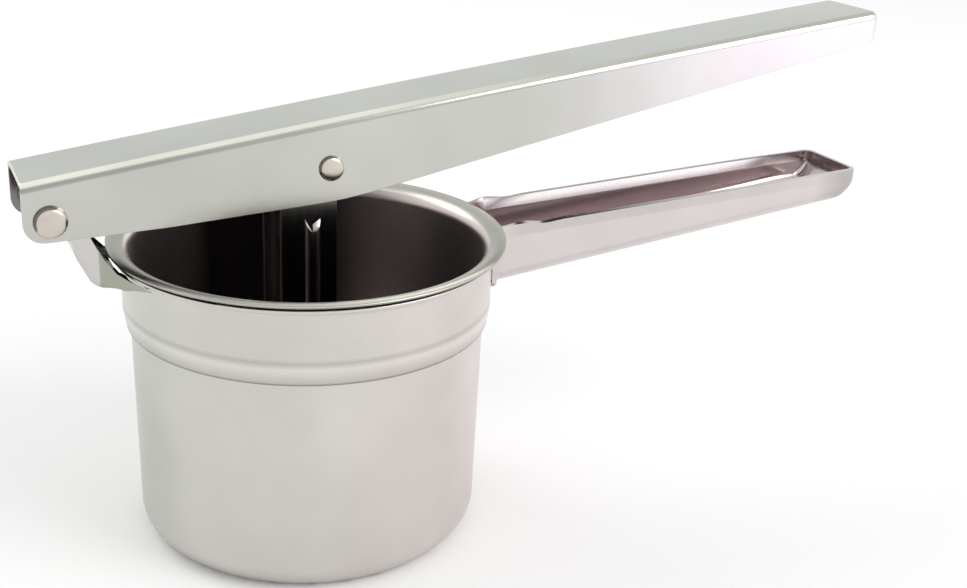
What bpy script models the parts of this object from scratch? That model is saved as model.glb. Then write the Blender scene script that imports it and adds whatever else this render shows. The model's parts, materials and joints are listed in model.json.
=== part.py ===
"""A lever press for passatelli, folded and drawn from stainless sheet.

A drop-in basket with a sieve floor hangs in a ring. The lower handle and the pivot bracket are
welded to the ring. A long lever turns on the bracket's rivet and pushes a disc into the basket
through a strap that hangs from a second rivet. Rest is the half-closed place.
"""

import math

import bmesh
import bpy
from mathutils import Matrix

MM = 0.001

# Sheet and fits
BASKET_SHEET = 1.0 * MM
RING_SHEET = 0.8 * MM
LEVER_SHEET = 1.2 * MM
HANDLE_SHEET = 1.2 * MM
STRAP_SHEET = 1.5 * MM
DISC_SHEET = 1.2 * MM
SEAT_GAP = 0.3 * MM
SLIDE_GAP = 0.4 * MM
WELD_SINK = 6.0 * MM
CUT_PAST = 8.0 * MM
NEAR = 0.01 * MM

# Basket
BASKET_HEIGHT = 78.6 * MM
RIM_RADIUS = 50.0 * MM
RIM_FILLET = 2.4 * MM
WALL_RADIUS = 45.15 * MM
WALL_TAPER = 1.1 * MM
FLOOR_FILLET = 6.6 * MM
HOLE_RADIUS = 2.5 * MM
HOLE_PITCH = 7.5 * MM
HOLE_RINGS = 5
HOLE_TURN = math.radians(36)

# Holder ring, measured down from the rim
RING_RADIUS = 46.6 * MM
RING_LIP_RADIUS = 48.75 * MM
RING_LIP_DROP = 3.5 * MM
RING_LIP_FILLET = 1.6 * MM
RING_TAPER_DROP = 18.2 * MM
RING_FOOT_DROP = 22.2 * MM

# Lever, measured from its pivot
PIVOT_REACH = 64.0 * MM
PIVOT_RISE = 11.9 * MM
LEVER_HALF_WIDTH = 11.4 * MM
LEVER_BEND = 2.2 * MM
LEVER_BACK = 6.0 * MM
LEVER_TIP = 229.3 * MM
LEVER_TOP_RISE = 9.3 * MM
LEVER_TOP_SLOPE = math.radians(7.45)
LEVER_EAR_DROP = 4.6 * MM
LEVER_EAR_FILLET = 4.6 * MM
LEVER_EDGE_SLOPE = math.radians(2.7)
LEVER_KNEE = 70.0 * MM
LEVER_KNEE_RADIUS = 90.0 * MM
LEVER_RISE_SLOPE = math.radians(11.45)
LEVER_TIP_FILLET = 2.4 * MM

# Rivets
PIVOT_PIN_RADIUS = 2.4 * MM
PIVOT_HEAD_RADIUS = 3.85 * MM
PIVOT_HEAD_RISE = 1.7 * MM
PLUNGER_PIN_RADIUS = 2.0 * MM
PLUNGER_HEAD_RADIUS = 3.15 * MM
PLUNGER_HEAD_RISE = 1.4 * MM

# Pivot bracket: heights from the pivot, standoffs outwards from the ring
EAR_RADIUS = 4.4 * MM
EAR_SHOULDER = 4.0 * MM
BRACKET_WEB_STANDOFF = 12.1 * MM
BRACKET_WEB_TOP = -6.0 * MM
BRACKET_WEB_LOW = -9.5 * MM
BRACKET_WEB_CORNER = -13.5 * MM
BRACKET_WEB_RADIUS = 5.0 * MM
BRACKET_WEB_SLOPE = math.radians(130)
BRACKET_FOOT = -20.9 * MM
BRACKET_FOOT_STANDOFF = 3.8 * MM
BRACKET_BEND = 2.4 * MM
WING_HEIGHT = 5.2 * MM
WING_HALF_ANGLE = math.radians(16)
WING_STEPS = 8

# Lower handle, measured from the basket's axis and rim
HANDLE_HALF_WIDTH = 11.5 * MM
HANDLE_BEND = 4.0 * MM
HANDLE_TIP = 164.6 * MM
HANDLE_TOP_DROP = 2.9 * MM
HANDLE_TOP_SLOPE = math.radians(2.75)
HANDLE_DEPTH = 15.4 * MM
HANDLE_ROOT_SLOPE = math.radians(1.5)
HANDLE_KNEE = 78.0 * MM
HANDLE_KNEE_RADIUS = 180.0 * MM
HANDLE_NOSE_DEPTH = 6.1 * MM
HANDLE_NOSE_FILLET = 5.0 * MM
HUMP_X = 54.0 * MM
HUMP_HALF_LENGTH = 7.0 * MM
HUMP_RISE = 1.1 * MM

# Plunger, measured from its pin
PLUNGER_REACH = 66.0 * MM
PLUNGER_RISE = 6.95 * MM
PLUNGER_LENGTH = 87.0 * MM
STRAP_HALF_WIDTH = 7.1 * MM
STRAP_OFFSET = 4.6 * MM
STRAP_LOBE_RADIUS = 6.0 * MM
STRAP_SHOULDER = 7.5 * MM
STRAP_BEND = 3.5 * MM
RIB_HALF_WIDTH = 2.0 * MM
RIB_HEIGHT = 1.4 * MM
RIB_OFFSET = 0.8 * MM
RIB_TOP = 13.0 * MM
RIB_END = 9.0 * MM
DISC_RADIUS = 37.5 * MM
DISC_LIP = 3.5 * MM
DISC_FILLET = 2.2 * MM
DISC_LEAD = 0.25 * MM

# Facets
TURN_STEPS = 48
PIN_STEPS = 24
HOLE_SIDES = 12
BEND_SEGMENTS = 3
SMOOTH_ANGLE = math.radians(32)

# Places in the press's frame, whose origin is under the middle of its length
PIVOT_X = (LEVER_BACK - LEVER_TIP) / 2
PIVOT_Z = BASKET_HEIGHT + PIVOT_RISE
AXIS_X = PIVOT_X + PIVOT_REACH
PLUNGER_X = PIVOT_X + PLUNGER_REACH
PLUNGER_Z = PIVOT_Z + PLUNGER_RISE
BRACKET_WEB_X = PIVOT_REACH - RING_RADIUS - BRACKET_WEB_STANDOFF
BRACKET_FOOT_X = PIVOT_REACH - RING_RADIUS - BRACKET_FOOT_STANDOFF
DISC_OFFSET = PLUNGER_REACH - PIVOT_REACH + DISC_LEAD
EAR_HALF_SPAN = LEVER_HALF_WIDTH - LEVER_SHEET - SLIDE_GAP
YOKE_HALF_SPAN = EAR_HALF_SPAN - RIB_HEIGHT

SATIN_STEEL = (0.56, 0.54, 0.51, 1)
BRIGHT_STEEL = (0.62, 0.61, 0.59, 1)
DARK_STEEL = (0.45, 0.43, 0.42, 1)


def clear_scene():
    """Removes every object of the file that the script runs in."""
    for thing in list(bpy.data.objects):
        bpy.data.objects.remove(thing, do_unlink=True)


def collection(name):
    """A new collection under the scene."""
    made = bpy.data.collections.new(name)
    bpy.context.scene.collection.children.link(made)
    return made


def steel(name, color, roughness):
    """A plain metal for one piece."""
    made = bpy.data.materials.new(name)
    made.use_nodes = True
    shader = made.node_tree.nodes["Principled BSDF"]
    shader.inputs["Base Color"].default_value = color
    shader.inputs["Metallic"].default_value = 1.0
    shader.inputs["Roughness"].default_value = roughness
    return made


def arc(centre, radius, start, end, pieces):
    """Points along an arc, both ends included; angles in degrees from +X towards +Z."""
    points = []
    for i in range(pieces + 1):
        angle = math.radians(start + (end - start) * i / pieces)
        points.append((centre[0] + radius * math.cos(angle), centre[1] + radius * math.sin(angle)))
    return points


def knee(corner, radius, slope_in, slope_out, pieces):
    """Points of the arc that rounds a corner between two slopes."""
    reach = radius * math.tan(abs(slope_out - slope_in) / 2)
    side = 1 if slope_out > slope_in else -1
    start = (corner[0] - reach * math.cos(slope_in), corner[1] - reach * math.sin(slope_in))
    centre = (start[0] - side * radius * math.sin(slope_in), start[1] + side * radius * math.cos(slope_in))
    points = []
    for i in range(pieces + 1):
        slope = slope_in + (slope_out - slope_in) * i / pieces
        x = centre[0] + side * radius * math.sin(slope)
        points.append((x, centre[1] - side * radius * math.cos(slope)))
    return points


def link(name, mesh, home):
    """An object for a mesh, in a collection."""
    thing = bpy.data.objects.new(name, mesh)
    home.objects.link(thing)
    return thing


def cutter(thing):
    """Marks an object as a helper that only cuts or joins."""
    thing.hide_render = True
    thing.display_type = "WIRE"
    return thing


def turned(name, profile, home, steps, sheet=None):
    """A profile in X and Z turned about Z; an open one gets the sheet's thickness inwards."""
    mesh = bpy.data.meshes.new(name)
    points = [(x, 0, z) for x, z in profile]
    mesh.from_pydata(points, [(i, i + 1) for i in range(len(points) - 1)], [])
    thing = link(name, mesh, home)
    screw = thing.modifiers.new("Turn", "SCREW")
    screw.steps = steps
    screw.render_steps = steps
    screw.use_merge_vertices = True
    screw.merge_threshold = NEAR
    if sheet:
        wall = thing.modifiers.new("Sheet", "SOLIDIFY")
        wall.thickness = sheet
        wall.offset = -1
        wall.use_even_offset = True
    return thing


def prism(name, outline, half_width, home, is_bent=None, bend=0.0):
    """A side outline in X and Z given its width in Y, with the chosen long edges rounded."""
    curve = bpy.data.curves.new(name, "CURVE")
    curve.dimensions = "2D"
    curve.fill_mode = "BOTH"
    curve.extrude = half_width
    spline = curve.splines.new("POLY")
    spline.points.add(len(outline) - 1)
    for point, (x, z) in zip(spline.points, outline):
        point.co = (x, z, 0, 1)
    spline.use_cyclic_u = True
    flat = link(name + "_outline", curve, home)
    flat.matrix_world = Matrix.Rotation(math.radians(90), 4, "X")
    bpy.context.view_layer.update()
    evaluated = flat.evaluated_get(bpy.context.evaluated_depsgraph_get())
    mesh = bpy.data.meshes.new_from_object(evaluated)
    mesh.transform(flat.matrix_world)
    bpy.data.objects.remove(flat, do_unlink=True)
    shape = bmesh.new()
    shape.from_mesh(mesh)
    bmesh.ops.remove_doubles(shape, verts=shape.verts, dist=NEAR / 10)
    bmesh.ops.dissolve_limit(shape, angle_limit=math.radians(0.1), verts=shape.verts, edges=shape.edges)
    if is_bent:
        chosen = [edge for edge in shape.edges if edge_is_bent(edge, half_width, is_bent)]
        bmesh.ops.bevel(
            shape,
            geom=chosen,
            offset=bend,
            segments=BEND_SEGMENTS,
            profile=0.5,
            affect="EDGES",
            clamp_overlap=True,
        )
    bmesh.ops.recalc_face_normals(shape, faces=shape.faces)
    shape.to_mesh(mesh)
    shape.free()
    return link(name, mesh, home)


def edge_is_bent(edge, half_width, is_bent):
    """Whether an edge runs along the side face at a place that the piece's rule calls bent."""
    if any(abs(abs(vert.co.y) - half_width) > NEAR for vert in edge.verts):
        return False
    if edge.verts[0].co.y * edge.verts[1].co.y < 0:
        return False
    middle = (edge.verts[0].co + edge.verts[1].co) / 2
    return is_bent(middle.x, middle.z)


def combine(thing, other, operation):
    """Adds one exact Boolean."""
    step = thing.modifiers.new(other.name, "BOOLEAN")
    step.operation = operation
    step.object = other
    step.solver = "EXACT"


def settle(thing):
    """Turns the modifiers into plain mesh and shades it smooth with sharp sheet edges."""
    bpy.context.view_layer.update()
    evaluated = thing.evaluated_get(bpy.context.evaluated_depsgraph_get())
    mesh = bpy.data.meshes.new_from_object(evaluated)
    thing.modifiers.clear()
    thing.data = mesh
    mesh.shade_smooth()
    mesh.set_sharp_from_angle(angle=SMOOTH_ANGLE)


def rod(name, radius, half_length, home, sides):
    """A round bar along Y, centred on its object's origin."""
    shape = bmesh.new()
    bmesh.ops.create_cone(
        shape, cap_ends=True, segments=sides, radius1=radius, radius2=radius, depth=2 * half_length
    )
    lying = Matrix.Rotation(math.radians(90), 3, "X")
    bmesh.ops.rotate(shape, verts=shape.verts, cent=(0, 0, 0), matrix=lying)
    mesh = bpy.data.meshes.new(name)
    shape.to_mesh(mesh)
    shape.free()
    return link(name, mesh, home)


def wall_radius_at(drop):
    """The basket's outer radius at a distance below its rim."""
    return WALL_RADIUS - WALL_TAPER * drop / BASKET_HEIGHT


def make_basket(parts, cutters):
    """The drawn cup, its flat rim and its sieve floor."""
    rim_low = BASKET_HEIGHT - BASKET_SHEET
    bell = (WALL_RADIUS + RIM_FILLET, rim_low - RIM_FILLET)
    foot_radius = wall_radius_at(BASKET_HEIGHT - FLOOR_FILLET)
    corner = (foot_radius - FLOOR_FILLET, FLOOR_FILLET)
    profile = [(RIM_RADIUS, rim_low)]
    profile += arc(bell, RIM_FILLET, 90, 180, 4)
    profile += arc(corner, FLOOR_FILLET, 0, -90, 6)
    profile += [(0, 0)]
    basket = turned("basket", profile, parts, TURN_STEPS, BASKET_SHEET)
    combine(basket, make_sieve_cutter(cutters), "DIFFERENCE")
    settle(basket)
    basket.location = (AXIS_X, 0, 0)
    return basket


def make_sieve_cutter(cutters):
    """All the sieve's holes: one in the middle and rings of six more each."""
    shape = bmesh.new()
    places = [(0.0, 0.0)]
    for ring in range(1, HOLE_RINGS + 1):
        for i in range(6 * ring):
            angle = HOLE_TURN + math.tau * i / (6 * ring)
            places.append((ring * HOLE_PITCH * math.cos(angle), ring * HOLE_PITCH * math.sin(angle)))
    for x, y in places:
        bmesh.ops.create_cone(
            shape,
            cap_ends=True,
            segments=HOLE_SIDES,
            radius1=HOLE_RADIUS,
            radius2=HOLE_RADIUS,
            depth=4 * BASKET_SHEET,
            matrix=Matrix.Translation((x, y, BASKET_SHEET / 2)),
        )
    mesh = bpy.data.meshes.new("sieve_holes")
    shape.to_mesh(mesh)
    shape.free()
    return cutter(link("sieve_holes", mesh, cutters))


def make_holder_ring(parts):
    """The band round the basket: flared lip, straight wall and drawn-in foot."""
    lip_low = BASKET_HEIGHT - RING_LIP_DROP
    bell = (RING_RADIUS + RING_LIP_FILLET, lip_low - RING_LIP_FILLET)
    foot_radius = wall_radius_at(RING_FOOT_DROP) + SEAT_GAP + RING_SHEET
    profile = [(RING_LIP_RADIUS, lip_low)]
    profile += arc(bell, RING_LIP_FILLET, 90, 180, 4)
    profile += [(RING_RADIUS, BASKET_HEIGHT - RING_TAPER_DROP)]
    profile += [(foot_radius, BASKET_HEIGHT - RING_FOOT_DROP)]
    ring = turned("holder_ring", profile, parts, TURN_STEPS, RING_SHEET)
    settle(ring)
    ring.location = (AXIS_X, 0, 0)
    return ring


def make_ring_room(cutters):
    """The space of the ring and the rim, a gap larger, which welded pieces are cut to."""
    above = 2 * PIVOT_RISE + CUT_PAST
    lip_low = BASKET_HEIGHT - RING_LIP_DROP
    profile = [
        (0, BASKET_HEIGHT + above),
        (RIM_RADIUS + SEAT_GAP, BASKET_HEIGHT + above),
        (RIM_RADIUS + SEAT_GAP, BASKET_HEIGHT - BASKET_SHEET - SEAT_GAP),
        (RING_LIP_RADIUS + SEAT_GAP, BASKET_HEIGHT - BASKET_SHEET - SEAT_GAP),
        (RING_LIP_RADIUS + SEAT_GAP, lip_low - SEAT_GAP),
        (RING_RADIUS + SEAT_GAP, lip_low - RING_LIP_FILLET - SEAT_GAP),
        (RING_RADIUS + SEAT_GAP, 0),
        (0, 0),
    ]
    room = turned("ring_room", profile, cutters, TURN_STEPS)
    room.location = (AXIS_X, 0, 0)
    return cutter(room)


def make_pivot_bracket(parts, cutters, ring_room):
    """Two ears joined by a web below and behind, with wings that lie on the ring."""
    inside_ring = PIVOT_REACH - RING_RADIUS + WELD_SINK
    corner = (BRACKET_WEB_X, BRACKET_WEB_CORNER)
    web = [
        (BRACKET_FOOT_X, BRACKET_FOOT),
        *knee(corner, BRACKET_WEB_RADIUS, BRACKET_WEB_SLOPE, math.radians(90), 3),
        (BRACKET_WEB_X, BRACKET_WEB_TOP),
    ]
    round_end = arc((0, 0), EAR_RADIUS, -70, -270, 8)
    rear_edge = PIVOT_REACH - RIM_RADIUS - 2 * SEAT_GAP
    outline = [(inside_ring, BRACKET_FOOT)] + web + round_end
    outline += [(rear_edge - EAR_SHOULDER, EAR_RADIUS), (rear_edge, 0)]
    outline += [(rear_edge, BRACKET_WEB_LOW), (inside_ring, BRACKET_WEB_LOW)]
    bracket = prism(
        "pivot_bracket",
        outline,
        EAR_HALF_SPAN,
        parts,
        lambda x, z: z < BRACKET_WEB_TOP - NEAR and x < BRACKET_FOOT_X + NEAR,
        BRACKET_BEND,
    )
    low = BRACKET_FOOT - CUT_PAST
    high = EAR_RADIUS + CUT_PAST
    rear = -EAR_RADIUS - CUT_PAST
    front = inside_ring + CUT_PAST
    hollow_outline = [(front, low), (BRACKET_FOOT_X + 2 * STRAP_SHEET, low)]
    hollow_outline += [(x + STRAP_SHEET, z + STRAP_SHEET / 2) for x, z in web[:-1]]
    hollow_outline += [(BRACKET_WEB_X + STRAP_SHEET, BRACKET_WEB_TOP)]
    hollow_outline += [(rear, BRACKET_WEB_TOP), (rear, high), (front, high)]
    hollow = cutter(prism("bracket_hollow", hollow_outline, EAR_HALF_SPAN - STRAP_SHEET, cutters))
    hole = cutter(rod("bracket_hole", PIVOT_PIN_RADIUS + SEAT_GAP, LEVER_HALF_WIDTH, cutters, PIN_STEPS))
    for thing in (bracket, hollow, hole):
        thing.location = (PIVOT_X, 0, PIVOT_Z)
    wings = make_wings(cutters)
    combine(bracket, hollow, "DIFFERENCE")
    combine(bracket, wings, "UNION")
    combine(bracket, ring_room, "DIFFERENCE")
    combine(bracket, hole, "DIFFERENCE")
    settle(bracket)
    return bracket


def make_wings(cutters):
    """The part of a turned band that lies on the ring, one wing either side of the ears."""
    low = PIVOT_Z + BRACKET_FOOT
    inner = RING_RADIUS
    outer = RING_RADIUS + SEAT_GAP + STRAP_SHEET
    profile = [(inner, low + WING_HEIGHT), (outer, low + WING_HEIGHT), (outer, low), (inner, low)]
    shape = bmesh.new()
    corners = []
    first = math.pi - WING_HALF_ANGLE
    for x, z in profile:
        corners.append(shape.verts.new((x * math.cos(first), x * math.sin(first), z)))
    face = shape.faces.new(corners)
    bmesh.ops.spin(
        shape, geom=[face], cent=(0, 0, 0), axis=(0, 0, 1), angle=2 * WING_HALF_ANGLE, steps=WING_STEPS
    )
    bmesh.ops.recalc_face_normals(shape, faces=shape.faces)
    mesh = bpy.data.meshes.new("bracket_wings")
    shape.to_mesh(mesh)
    shape.free()
    wings = link("bracket_wings", mesh, cutters)
    wings.location = (AXIS_X, 0, 0)
    return cutter(wings)


def handle_top(x):
    """The handle's top edge, from the rim's level, with the hump over its weld."""
    level = x * math.tan(HANDLE_TOP_SLOPE) - HANDLE_TOP_DROP
    away = abs(x - HUMP_X) / HUMP_HALF_LENGTH
    if away < 1:
        level += HUMP_RISE * (1 + math.cos(math.pi * away)) / 2
    return level


def handle_outline(inset):
    """The handle's side outline; the inset draws the bottom and the nose in by the sheet."""
    root = RING_RADIUS - WELD_SINK
    drop = (HANDLE_KNEE - root) * math.tan(HANDLE_ROOT_SLOPE)
    climb = handle_top(HANDLE_TIP) - HANDLE_NOSE_DEPTH + HANDLE_DEPTH - drop
    rise_slope = math.atan(climb / (HANDLE_TIP - HANDLE_KNEE))
    corner = (HANDLE_KNEE, drop - HANDLE_DEPTH + inset)
    tip = HANDLE_TIP - inset
    nose = HANDLE_NOSE_FILLET - inset
    low = corner[1] + (tip - corner[0]) * math.tan(rise_slope)
    points = [(root, -HANDLE_DEPTH + inset)]
    points += knee(corner, HANDLE_KNEE_RADIUS, HANDLE_ROOT_SLOPE, rise_slope, 4)
    points += knee((tip, low), nose, rise_slope, math.radians(90), 4)
    return points


def make_handle(parts, cutters, ring_room):
    """The lower handle: a channel open upwards with a closed nose."""
    edge = [(HANDLE_TIP, handle_top(HANDLE_TIP))]
    for i in range(9):
        x = HUMP_X + HUMP_HALF_LENGTH * (1 - i / 4)
        edge.append((x, handle_top(x)))
    root = RING_RADIUS - WELD_SINK
    edge.append((root, handle_top(HUMP_X)))
    handle = prism(
        "handle",
        handle_outline(0) + edge,
        HANDLE_HALF_WIDTH,
        parts,
        lambda x, z: z < handle_top(x) - HANDLE_SHEET / 4,
        HANDLE_BEND,
    )
    above = handle_top(HANDLE_TIP) + CUT_PAST
    inner_tip = HANDLE_TIP - HANDLE_SHEET
    inner = [(root - CUT_PAST, HANDLE_SHEET - HANDLE_DEPTH)] + handle_outline(HANDLE_SHEET)
    inner += [(inner_tip, above), (root - CUT_PAST, above)]
    hollow = cutter(
        prism(
            "handle_hollow",
            inner,
            HANDLE_HALF_WIDTH - HANDLE_SHEET,
            cutters,
            lambda x, z: z < handle_top(x) - HANDLE_SHEET / 4,
            HANDLE_BEND - HANDLE_SHEET,
        )
    )
    for thing in (handle, hollow):
        thing.location = (AXIS_X, 0, BASKET_HEIGHT)
    combine(handle, hollow, "DIFFERENCE")
    combine(handle, ring_room, "DIFFERENCE")
    settle(handle)
    return handle


def lever_top(x):
    """The lever's top face above its pivot."""
    return LEVER_TOP_RISE + x * math.tan(LEVER_TOP_SLOPE)


def lever_low_edge():
    """The lever's lower edge: nearly level over the basket, then rising straight to the tip."""
    start = (0.0, -LEVER_EAR_DROP)
    corner = (LEVER_KNEE, start[1] + LEVER_KNEE * math.tan(LEVER_EDGE_SLOPE))
    bend = knee(corner, LEVER_KNEE_RADIUS, LEVER_EDGE_SLOPE, LEVER_RISE_SLOPE, 5)
    x, z = bend[-1]
    end = (LEVER_TIP, z + (LEVER_TIP - x) * math.tan(LEVER_RISE_SLOPE))
    return [start, *bend, end]


def make_lever(parts, cutters):
    """The upper handle: a channel open downwards and at its back, closed at its tip."""
    ear_centre = (LEVER_EAR_FILLET - LEVER_BACK, LEVER_EAR_FILLET - LEVER_EAR_DROP)
    ear = arc(ear_centre, LEVER_EAR_FILLET, 180, 270, 5)
    tip_corner = (LEVER_TIP, lever_top(LEVER_TIP))
    tip = knee(tip_corner, LEVER_TIP_FILLET, math.radians(90), math.radians(180) + LEVER_TOP_SLOPE, 3)
    outline = [(-LEVER_BACK, lever_top(-LEVER_BACK))] + ear + lever_low_edge() + tip
    lever = prism(
        "lever",
        outline,
        LEVER_HALF_WIDTH,
        parts,
        lambda x, z: x > LEVER_TIP - NEAR or z > lever_top(x) - LEVER_TIP_FILLET,
        LEVER_BEND,
    )
    back = -LEVER_BACK - CUT_PAST
    below = -LEVER_EAR_DROP - CUT_PAST
    inner_tip = LEVER_TIP - LEVER_SHEET
    roof = LEVER_SHEET / math.cos(LEVER_TOP_SLOPE)
    inner = [(back, lever_top(back) - roof), (back, below), (LEVER_KNEE, below)]
    inner += [(inner_tip, 0), (inner_tip, lever_top(inner_tip) - roof)]
    hollow = cutter(
        prism(
            "lever_hollow",
            inner,
            LEVER_HALF_WIDTH - LEVER_SHEET,
            cutters,
            lambda x, z: x > inner_tip - NEAR or z > lever_top(x) - 2 * roof,
            LEVER_BEND - LEVER_SHEET,
        )
    )
    past = LEVER_HALF_WIDTH + CUT_PAST
    pivot_hole = cutter(rod("lever_pivot_hole", PIVOT_PIN_RADIUS + SEAT_GAP, past, cutters, PIN_STEPS))
    strap_hole = cutter(rod("lever_strap_hole", PLUNGER_PIN_RADIUS + SEAT_GAP, past, cutters, PIN_STEPS))
    for thing in (lever, hollow, pivot_hole):
        thing.location = (PIVOT_X, 0, PIVOT_Z)
    strap_hole.location = (PLUNGER_X, 0, PLUNGER_Z)
    for hole in (hollow, pivot_hole, strap_hole):
        combine(lever, hole, "DIFFERENCE")
    settle(lever)
    return lever


def make_rivet(name, shaft, head, rise, parts):
    """A rivet across the lever, with a domed head outside each wall."""
    seat = LEVER_HALF_WIDTH + SEAT_GAP
    dome = []
    for i in range(4):
        angle = math.radians(90 - 30 * i)
        dome.append((head * math.cos(angle), seat + rise * (0.35 + 0.65 * math.sin(angle))))
    dome[0] = (0, seat + rise)
    upper = dome + [(head, seat), (shaft, seat)]
    lower = [(x, -z) for x, z in reversed(upper)]
    rivet = turned(name, upper + lower, parts, PIN_STEPS)
    settle(rivet)
    rivet.data.transform(Matrix.Rotation(math.radians(90), 4, "X"))
    return rivet


def make_plunger_yoke(parts, cutters):
    """The strap: two ribbed legs with an offset lobe round the pin, and a web on the disc."""
    left = -STRAP_OFFSET - STRAP_HALF_WIDTH
    right = -STRAP_OFFSET + STRAP_HALF_WIDTH
    web_low = -PLUNGER_LENGTH + DISC_SHEET + SEAT_GAP
    lobe = arc((0, 0), STRAP_LOBE_RADIUS, -20, 140, 6)
    shoulder = arc((left + STRAP_BEND, -STRAP_SHOULDER - STRAP_BEND), STRAP_BEND, 120, 180, 2)
    outline = [(right, web_low), (right, -STRAP_SHOULDER)] + lobe + shoulder + [(left, web_low)]
    yoke = prism(
        "plunger_yoke",
        outline,
        YOKE_HALF_SPAN,
        parts,
        lambda x, z: z < web_low + NEAR,
        STRAP_BEND,
    )
    past = STRAP_OFFSET + STRAP_HALF_WIDTH + CUT_PAST
    above = STRAP_LOBE_RADIUS + CUT_PAST
    web_top = web_low + STRAP_SHEET
    inner = [(-past, web_top), (past, web_top), (past, above), (-past, above)]
    hollow = cutter(
        prism(
            "yoke_hollow",
            inner,
            YOKE_HALF_SPAN - STRAP_SHEET,
            cutters,
            lambda x, z: z < web_top + NEAR,
            STRAP_BEND - STRAP_SHEET,
        )
    )
    hole = cutter(rod("yoke_hole", PLUNGER_PIN_RADIUS + SEAT_GAP, LEVER_HALF_WIDTH, cutters, PIN_STEPS))
    ribs = make_yoke_ribs(web_low, cutters)
    for thing in (yoke, hollow, hole, ribs):
        thing.location = (PLUNGER_X, 0, PLUNGER_Z)
    combine(yoke, hollow, "DIFFERENCE")
    combine(yoke, hole, "DIFFERENCE")
    combine(yoke, ribs, "UNION")
    settle(yoke)
    return yoke


def make_yoke_ribs(web_low, cutters):
    """The two ribs that stiffen the legs, proud of their outer faces."""
    shape = bmesh.new()
    top = -RIB_TOP
    low = web_low + RIB_END
    for side in (-1, 1):
        middle = side * (YOKE_HALF_SPAN + (RIB_HEIGHT - STRAP_SHEET / 2) / 2)
        size = (2 * RIB_HALF_WIDTH, RIB_HEIGHT + STRAP_SHEET / 2, top - low)
        place = Matrix.Translation((RIB_OFFSET - STRAP_OFFSET, middle, (top + low) / 2))
        made = bmesh.ops.create_cube(shape, size=1, matrix=place @ Matrix.Diagonal((*size, 1)))
        outer = side * (YOKE_HALF_SPAN + RIB_HEIGHT)
        verts = [vert for vert in made["verts"] if abs(vert.co.y - outer) < NEAR]
        edges = {edge for vert in verts for edge in vert.link_edges if all(v in verts for v in edge.verts)}
        bend = RIB_HEIGHT * 0.8
        bmesh.ops.bevel(shape, geom=list(edges), offset=bend, segments=2, profile=0.5, affect="EDGES")
    mesh = bpy.data.meshes.new("yoke_ribs")
    shape.to_mesh(mesh)
    shape.free()
    return cutter(link("yoke_ribs", mesh, cutters))


def make_plunger_disc(parts):
    """The shallow pan under the strap, with a turned-up edge."""
    corner = (DISC_RADIUS - DISC_FILLET, -PLUNGER_LENGTH + DISC_FILLET)
    profile = [(DISC_RADIUS, -PLUNGER_LENGTH + DISC_LIP)]
    profile += arc(corner, DISC_FILLET, 0, -90, 3)
    profile += [(0, -PLUNGER_LENGTH)]
    disc = turned("plunger_disc", profile, parts, TURN_STEPS, DISC_SHEET)
    settle(disc)
    disc.data.transform(Matrix.Translation((-DISC_OFFSET, 0, 0)))
    return disc


def joint(name, place, parent, parts):
    """An empty on a joint's axis, which the moving pieces hang from."""
    empty = bpy.data.objects.new(name, None)
    empty.empty_display_size = 10 * MM
    parts.objects.link(empty)
    empty.parent = parent
    empty.location = place
    return empty


def hang(thing, empty, place=(0, 0, 0)):
    """Parents a piece to its joint, at a place measured from that joint."""
    thing.parent = empty
    thing.location = place


def main():
    clear_scene()
    parts = collection("passatelli_maker")
    cutters = collection("cutters")
    ring_room = make_ring_room(cutters)
    basket = make_basket(parts, cutters)
    ring = make_holder_ring(parts)
    bracket = make_pivot_bracket(parts, cutters, ring_room)
    handle = make_handle(parts, cutters, ring_room)
    lever = make_lever(parts, cutters)
    pivot_pin = make_rivet("pivot_pin", PIVOT_PIN_RADIUS, PIVOT_HEAD_RADIUS, PIVOT_HEAD_RISE, parts)
    plunger_pin = make_rivet("plunger_pin", PLUNGER_PIN_RADIUS, PLUNGER_HEAD_RADIUS, PLUNGER_HEAD_RISE, parts)
    yoke = make_plunger_yoke(parts, cutters)
    disc = make_plunger_disc(parts)

    lever_joint = joint("lever_joint", (PIVOT_X, 0, PIVOT_Z), None, parts)
    plunger_joint = joint("plunger_joint", (PLUNGER_REACH, 0, PLUNGER_RISE), lever_joint, parts)
    pivot_pin.location = (PIVOT_X, 0, PIVOT_Z)
    hang(lever, lever_joint)
    hang(plunger_pin, lever_joint, (PLUNGER_REACH, 0, PLUNGER_RISE))
    hang(yoke, plunger_joint)
    hang(disc, plunger_joint)

    satin = (basket, ring, yoke, disc)
    bright = (lever, bracket, pivot_pin, plunger_pin)
    for thing in satin:
        thing.data.materials.append(steel(thing.name + "_steel", SATIN_STEEL, 0.32))
    for thing in bright:
        thing.data.materials.append(steel(thing.name + "_steel", BRIGHT_STEEL, 0.2))
    handle.data.materials.append(steel("handle_steel", DARK_STEEL, 0.2))


main()
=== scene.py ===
"""A lever press for passatelli in stainless sheet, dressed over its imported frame.

Each operator makes one piece, or a pair of like pieces, in the frame's own coordinates, in metres.
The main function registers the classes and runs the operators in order.
"""

import json
import math

import bpy
import bmesh
from mathutils import Matrix, Vector


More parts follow.
